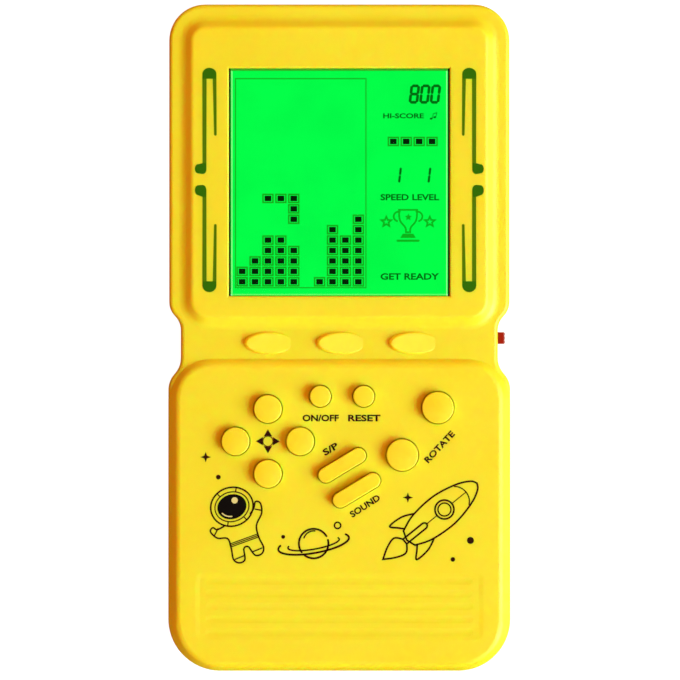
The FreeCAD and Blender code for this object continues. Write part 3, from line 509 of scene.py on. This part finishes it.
def draw_astronaut(ink):
    """A small floating figure in a round helmet, drawn in line."""
    marks = face_marks().at(*FIGURE)
    line = 0.46
    hx, hy = HELMET
    marks.stroke(ellipse(hx, hy, 6.1, 5.5, 40), line, closed=True)
    marks.stroke(ellipse(hx, hy, 4.9, 4.2, 36), line * 0.7, closed=True)
    for angle in (62, 118, 242, 298):
        inner, outer = (arc(hx, hy, rx, ry, angle, angle, 1)[0] for rx, ry in ((4.9, 4.2), (6.1, 5.5)))
        marks.stroke([inner, outer], line * 0.7)
    left_arm = [(-3.8, 0.7), (-5.9, 0.4), (-6.9, 1.3), (-7.9, 0.4), (-6.6, -1.9), (-3.9, -2.9)]
    left_leg = [(-3.7, -5.7), (-4.1, -9.0), (-2.9, -10.5), (-1.1, -10.2), (-0.5, -7.6)]
    marks.stroke(smooth(left_arm + left_leg), line)
    right_arm = [(4.5, 1.8), (5.9, 3.0), (6.9, 4.6), (8.1, 3.8), (7.6, 1.0), (5.1, -1.9)]
    right_leg = [(4.7, -5.3), (5.1, -8.4), (4.1, -10.0), (2.2, -9.9), (1.3, -7.6)]
    marks.stroke(smooth(right_arm + right_leg), line)
    marks.stroke(arc(0.4, -7.6, 0.9, 0.9, 0, 180, 8), line)
    for shift in (0.0, 0.45, 0.9):
        marks.stroke([(-3.8, -4.6 - shift), (4.8, -4.3 - shift)], line * 0.6)
    marks.stroke([(-7.1, -0.9), (-5.6, 0.6)], line * 0.8)
    marks.stroke([(6.2, 2.6), (7.7, 1.8)], line * 0.8)
    marks.stroke([(-3.6, -9.2), (-0.8, -9.0)], line * 0.8)
    marks.stroke([(1.8, -8.7), (4.6, -8.5)], line * 0.8)
    marks.piece("ink_astronaut", ink, "case_plastic")


def draw_visor(black, light):
    """The figure's black visor and two highlights on it."""
    hx, hy = HELMET
    marks = face_marks().at(*FIGURE)
    marks.fill(ellipse(hx, hy, 4.2, 3.5, 32))
    marks.piece("ink_visor", black, "case_plastic")
    marks = Marks(FACE_Z + INK_THICK - 0.004, INK_THICK / 2).at(*FIGURE)
    marks.fill(ellipse(hx + 1.3, hy + 1.5, 0.9, 0.9, 20))
    marks.stroke(arc(hx, hy, 3.4, 2.7, 200, 255, 8), 0.35)
    marks.piece("ink_visor_glint", light, "case_plastic")


def draw_rocket(ink):
    """A rocket in line, flying to the upper right."""
    marks = face_marks().at(26.1, -52.0, 39)
    line = 0.5
    hull = smooth([(-8.0, 2.6), (-3.0, 4.4), (4.8, 4.9), (11.8, 3.5), (15.7, 1.6), (16.8, 0.0)])
    lower = [(x, -y) for x, y in reversed(hull)][1:]
    marks.stroke(hull + lower, line)
    marks.stroke([(-8.0, 2.6), (-8.9, 0.0), (-8.0, -2.6)], line)
    marks.stroke(arc(9.2, 0, 3.6, 4.0, -55, 55, 10), line * 0.7)
    marks.stroke(ellipse(4.9, 0, 2.7, 2.7, 32), line, closed=True)
    marks.stroke(ellipse(4.9, 0, 1.85, 1.85, 28), line * 0.8, closed=True)
    marks.stroke([(7.7, 0), (12.6, 0)], line * 0.55)
    marks.stroke([(2.1, 0), (-1.6, 0)], line * 0.55)
    for side in (1, -1):
        fin = smooth([(-2.6, 4.55), (-6.0, 6.0), (-10.2, 6.1), (-8.5, 4.1), (-7.4, 2.9)])
        marks.stroke([(x, side * y) for x, y in fin], line)
    marks.stroke(arc(-2.6, 0, 1.0, 0.85, 90, -90, 8) + [(-9.6, -0.85), (-9.6, 0.85)], line, closed=True)
    flame = smooth([(-9.6, 0.9), (-11.4, 2.7), (-14.4, 1.9), (-17.6, 0.0)])
    marks.stroke(flame + [(x, -y) for x, y in reversed(flame)][1:], line)
    marks.piece("ink_rocket", ink, "case_plastic")


def draw_planet(ink):
    """A ringed planet with two moons, between the figure and the rocket."""
    marks = face_marks().at(-7.3, -58.6, 10)
    line = 0.55
    marks.stroke(arc(0, 0, 4.2, 4.2, 20, 206, 26), line)
    marks.stroke(arc(0, 0, 4.2, 4.2, 222, 364, 20), line)
    marks.stroke(arc(0, 0, 10.2, 2.7, 158, 382, 40), line)
    marks.stroke(arc(0, 0, 7.4, 1.6, 165, 375, 34), line * 0.8)
    marks.stroke(arc(0.2, 0.6, 3.0, 3.0, 75, 150, 10), line * 0.7)
    marks.stroke(ellipse(7.6, 3.9, 0.9, 0.9, 20), line * 0.8, closed=True)
    marks.fill(ellipse(-8.2, 3.4, 0.55, 0.55, 16))
    marks.piece("ink_planet", ink, "case_plastic")


def bracket_ends(marks):
    """The solid ends of the two brackets at the left of the screen: rounded caps and hooks."""
    cap = [(-38.95, 73.6)] + arc(-36.95, 75.0, 2.0, 1.7, 180, 0, 10) + [(-34.95, 73.6)]
    marks.fill(cap)
    hook = arc(-38.9, 47.8, 1.1, 1.3, -90, 0, 6) + [(-37.8, 49.6), (-38.9, 49.6)]
    marks.fill(hook + arc(-40.2, 48.0, 0.9, 1.3, 80, 270, 8))
    foot = [(-38.95, 16.0)] + arc(-36.95, 14.8, 2.0, 1.9, 180, 360, 10) + [(-34.95, 16.0)]
    marks.fill(foot)
    hook = arc(-38.9, 41.9, 1.1, 1.5, 90, 0, 6) + [(-37.8, 40.0), (-38.9, 40.0)]
    marks.fill(hook + arc(-40.2, 41.9, 0.9, 1.4, 270, 90, 8))


def bracket_lines(marks):
    """The long and the short line of each bracket at the left of the screen."""
    marks.fill([(-38.95, 73.6), (-38.9, 49.6), (-37.8, 49.6), (-37.75, 73.6)])
    marks.fill([(-36.0, 73.6)] + arc(-35.25, 57.8, 0.38, 0.4, 180, 360, 6) + [(-34.95, 73.6)])
    marks.fill([(-38.95, 16.0), (-37.75, 16.0), (-37.8, 40.0), (-38.9, 40.0)])
    marks.fill([(-36.0, 16.0), (-34.95, 16.0)] + arc(-35.25, 31.9, 0.38, 0.4, 0, 180, 6))


def draw_brackets(green, olive):
    """Green brackets beside the screen; the right ones mirror the left ones."""
    for name, draw, ink in (("ends", bracket_ends, green), ("lines", bracket_lines, olive)):
        marks = face_marks()
        for flip in (False, True):
            draw(marks.at(flip=flip))
        marks.piece("ink_bracket_" + name, ink, "case_plastic")


# ---- the screen ----
COLUMN_PITCH = 3.68
ROW_PITCH = 2.97
FIRST_COLUMN_X = -27.7
FIRST_ROW_Y = 15.9
STACK = (2, 3, 5, 5, 4, 0, 1, 6, 5, 7)
FALLING = ((2, 8), (3, 8), (4, 8), (4, 7), (4, 6))


def cell_spots():
    """The middle of every cell that is lit: the stack, the falling piece and the next piece."""
    cells = [(column, row) for column, height in enumerate(STACK) for row in range(height)]
    cells += FALLING
    spots = [(FIRST_COLUMN_X + c * COLUMN_PITCH, FIRST_ROW_Y + r * ROW_PITCH) for c, r in cells]
    return spots + [(15.4 + step * COLUMN_PITCH, 55.9) for step in range(4)]


def draw_cells(dark, soft):
    """Dark blocks, each in a paler frame, and the outline of the field."""
    blocks, frames = Marks(LCD_Z, LCD_THICK), Marks(LCD_Z, LCD_THICK)
    for x, y in cell_spots():
        blocks.block(x, y, 1.9, 1.55)
        corners = [(x + sx * 1.42, y + sy * 1.15) for sx, sy in CORNERS]
        frames.stroke(corners, 0.42, closed=True)
    frames.stroke([(-29.6, 14.2), (7.6, 14.2), (7.6, 73.8), (-29.6, 73.8)], 0.3, closed=True)
    blocks.piece("lcd_blocks", dark, "lcd_glass")
    frames.piece("lcd_frames", soft, "lcd_glass")


SEGMENTS = {
    "a": ((0, 2), (1, 2)), "b": ((1, 2), (1, 1)), "c": ((1, 1), (1, 0)), "d": ((0, 0), (1, 0)),
    "e": ((0, 1), (0, 0)), "f": ((0, 2), (0, 1)), "g": ((0, 1), (1, 1)),
}
DIGITS = {"8": "abcdefg", "0": "abcdef", "1": "bc"}


def lcd_digit(marks, digit, x, y, wide, tall, width):
    """A slanted seven-segment digit about its middle."""
    lean = 0.12

    def spot(across, up):
        rise = (up / 2 - 0.5) * tall
        return Vector((x + (across - 0.5) * wide + rise * lean, y + rise))

    for name in DIGITS[digit]:
        start, end = (spot(*corner) for corner in SEGMENTS[name])
        gap = (end - start).normalized() * width * 0.55
        marks.stroke([start + gap, end - gap], width)


def draw_readouts(ink):
    """Score, speed and level digits, and the words printed beside them."""
    marks = Marks(LCD_Z, LCD_THICK)
    for place, digit in enumerate("800"):
        lcd_digit(marks, digit, 21.4 + 3.0 * place, 69.4, 2.0, 4.7, 0.8)
    for x in (17.3, 25.7):
        lcd_digit(marks, "1", x - 0.8, 46.3, 1.6, 4.3, 0.65)
    marks.text("HI-SCORE", 18.3, 63.2, 1.45, 11.6)
    marks.text("SPEED LEVEL", 20.1, 40.0, 1.8, 16.7)
    marks.text("GET READY", 20.1, 17.4, 1.9, 16.7)
    marks.stroke([(26.5, 62.4), (26.8, 63.8), (27.8, 64.1), (27.5, 62.8)], 0.18)
    for x, y in ((26.2, 62.4), (27.2, 62.8)):
        marks.fill(ellipse(x, y, 0.4, 0.3, 12))
    marks.piece("lcd_readouts", ink, "lcd_glass")


def draw_trophy(dark):
    """A small cup between two stars, below the speed and level words."""
    marks = Marks(LCD_Z, LCD_THICK).at(19.6, 32.0)
    line = 0.5
    bowl = smooth([(-2.6, 4.4), (-2.3, 1.4), (-0.8, -0.6), (-0.6, -2.0)])
    marks.stroke(bowl + [(-x, y) for x, y in reversed(bowl)], line, closed=True)
    for side in (1, -1):
        handle = arc(2.6, 2.5, 1.5, 1.4, 100, -70, 10)
        marks.stroke([(side * x, y) for x, y in handle], line)
        star = [(side * 6.2 + r * math.cos(a), 1.0 + r * math.sin(a)) for r, a in star_points(1.5, 0.65)]
        marks.stroke(star, line, closed=True)
    marks.fill([(-2.2, -3.6), (2.2, -3.6), (1.5, -2.4), (-1.5, -2.4)])
    marks.stroke([(-3.0, -4.4), (3.0, -4.4)], 0.6)
    marks.fill([(0.1 + r * math.cos(a), 2.3 + r * math.sin(a)) for r, a in star_points(1.1, 0.5)])
    marks.piece("lcd_trophy", dark, "lcd_glass")


def star_points(outer, inner):
    """Radius and angle of a five-pointed star's corners."""
    return [((outer, inner)[k % 2], math.radians(90 + 36 * k)) for k in range(10)]


EDGE_HALF = 30.75                  # to the middle of the painted highlight line down each side of the view
EDGE_Y = (12.15, 76.2)
EDGE_WIDE = 0.5
# a black piece in each gap beside the lens, standing as painted shade for the dark gap
SHADE_SEAL_HALF = 31.15
SHADE_SEAL_Y = 44.2                      # the window's middle
SHADE_SEAL_SIZE = (0.49, 64.7, 1.45)     # across, along and tall
SHADE_SEAL_DROP = 1.7                    # from the lens's top down to the seal's foot


def draw_painted_screen_edges(pale, shade):
    """Painted highlight down the sides and foot of the screen, and painted shade along its top, where the
    window's edges bend the view.
    """
    low, high = EDGE_Y
    marks = Marks(LCD_Z, LCD_THICK)
    # painted highlight: pale lines down both sides and along the foot of the screen
    for side in (-EDGE_HALF, EDGE_HALF):
        marks.block(side, (low + high) / 2, EDGE_WIDE, high - low)
    marks.block(0, low, 2 * EDGE_HALF - EDGE_WIDE, 0.45)
    marks.piece("lcd_edge_glint", pale, "lcd_glass")
    # painted shade: a dark line along the top of the screen, under the lens
    marks = Marks(top_of("screen_lens") - 0.4, LCD_THICK)
    marks.block(0, high, 2 * EDGE_HALF + EDGE_WIDE, 0.6)
    marks.piece("lcd_edge_shade", shade, "lcd_glass")


def draw_shade_seals(foam):
    """Black foam in the gap down both sides of the lens, put there as painted shade so that the gap shows
    black.
    """
    across, along, tall = SHADE_SEAL_SIZE
    marks = Marks(top_of("screen_lens") - SHADE_SEAL_DROP, tall)
    for side in (-SHADE_SEAL_HALF, SHADE_SEAL_HALF):
        marks.block(side, SHADE_SEAL_Y, across, along)
    marks.piece("lens_shade_seals", foam, "black_tape")


def draw_screen():
    # black foam in the gaps beside the lens, as painted shade
    draw_shade_seals(plain("black_foam_shade", linear(4, 4, 4), 0.9, Specular_IOR_Level=0.1))
    # the pale edge lines are painted highlight and the dark one is painted shade
    draw_painted_screen_edges(glow("lcd_painted_highlight", linear(160, 252, 165)), glow("lcd_shade", linear(46, 165, 30)))
    draw_cells(glow("lcd_dark", linear(0, 34, 4)), glow("lcd_soft", linear(20, 172, 24)))
    draw_readouts(glow("lcd_mid", linear(0, 110, 16)))
    draw_trophy(glow("lcd_faint", linear(10, 178, 26)))


def printed(name, color):
    """Screen-printed ink: thin, matt and dull."""
    return plain(name, color, 0.7, depth_mm=0.002, Specular_IOR_Level=0.08)


def draw_print():
    ink = printed("brown_ink", INK_BROWN)
    draw_labels(ink)
    draw_arrows(ink)
    draw_stars(ink)
    draw_astronaut(ink)
    draw_visor(printed("black_ink", linear(6, 3, 3)), printed("pale_ink", linear(214, 206, 140)))
    draw_rocket(ink)
    draw_planet(ink)
    draw_brackets(printed("green_ink", INK_GREEN), printed("olive_ink", INK_OLIVE))


# ---- floor, light and camera ----
FILL = (1.0, 0.235, 0.026, 1.0)
DARK = (0.02, 0.01, 0.01, 1.0)


def add_backdrop():
    """A pale floor and a pale wall round it that the camera sees and that throw no light back."""
    bpy.ops.mesh.primitive_plane_add(size=6, location=(0, 0, -0.0001))
    floor = bpy.context.object
    bpy.ops.mesh.primitive_cylinder_add(
        vertices=64, radius=2.9, depth=1.6, end_fill_type="NOTHING", location=(0, 0, 0.8))
    wall = bpy.context.object
    wall.visible_shadow = False
    material, shader = new_material("pale_floor", (0.3, 0.3, 0.3, 1), 0.8, Specular_IOR_Level=0.0)
    shader.inputs["Emission Color"].default_value = (1, 1, 1, 1)
    shader.inputs["Emission Strength"].default_value = 1.0
    for name, surface in (("floor", floor), ("wall", wall)):
        surface.name = name
        surface.data.materials.append(material)
        surface.visible_diffuse = surface.visible_glossy = surface.visible_transmission = False


def add_area(name, azimuth, elevation, distance, size, power, color):
    """A soft light of the given width and height, aimed at the middle of the object."""
    data = bpy.data.lights.new(name, "AREA")
    data.shape = "RECTANGLE"
    data.size, data.size_y = size
    data.energy = power
    data.color = color
    light = bpy.data.objects.new(name, data)
    turn, rise = math.radians(azimuth), math.radians(elevation)
    way = Vector((math.cos(turn) * math.cos(rise), math.sin(turn) * math.cos(rise), math.sin(rise)))
    light.location = way * distance
    light.rotation_euler = way.to_track_quat("Z", "Y").to_euler()
    bpy.context.scene.collection.objects.link(light)
    return light


def add_light():
    """A soft key and a warm side light from the right, and low strips beyond both ends."""
    add_area("key", -20, 37, 2.2, (1.5, 1.5), 73.5, (0.59, 1.0, 0.93))
    add_area("side", -20, 5, 2.0, (1.0, 0.3), 10.0, FILL[:3])
    for side, power in ((90, 3.2), (-90, 2.0)):
        strip = add_area("strip", side, 14, 1.25, (1.2, 0.2), power, (1.0, 0.9, 0.6))
        strip.visible_glossy = strip.visible_transmission = False     # keeps it out of the lens


def add_surround():
    """Warm fill from part way up the sky, dark near the floor and overhead."""
    world = bpy.data.worlds.new("surround")
    world.use_nodes = True
    nodes, links = world.node_tree.nodes, world.node_tree.links
    place = nodes.new("ShaderNodeTexCoord")
    split = nodes.new("ShaderNodeSeparateXYZ")
    ramp = nodes.new("ShaderNodeValToRGB")
    stops = ramp.color_ramp.elements
    stops[0].position, stops[1].position = 0.0, 1.0
    for height, color in ((0.2, DARK), (0.35, FILL), (0.88, FILL), (0.97, DARK)):
        stops.new(height).color = color
    stops[0].color = stops[-1].color = DARK
    links.new(place.outputs["Generated"], split.inputs["Vector"])
    links.new(split.outputs["Z"], ramp.inputs["Fac"])
    links.new(ramp.outputs["Color"], nodes["Background"].inputs["Color"])
    nodes["Background"].inputs["Strength"].default_value = 0.8
    bpy.context.scene.world = world


def add_camera():
    """Straight above the face, far off with a long lens."""
    lens, sensor = 200.0, 36.0
    view = 0.1934                     # metres across the picture, at the face
    aim = (0.0002, -0.0007)           # the picture's middle, just off the case's middle
    data = bpy.data.cameras.new("camera")
    data.lens = lens
    data.sensor_width = sensor
    camera = bpy.data.objects.new("camera", data)
    camera.location = (*aim, FACE_Z * MM + view * lens / sensor)
    data.clip_start, data.clip_end = 0.01, 20
    bpy.context.scene.collection.objects.link(camera)
    bpy.context.scene.camera = camera


dress_cad_nodes()
draw_print()
draw_screen()
add_backdrop()
add_light()
add_surround()
add_camera()
bpy.context.scene.view_settings.view_transform = "Standard"
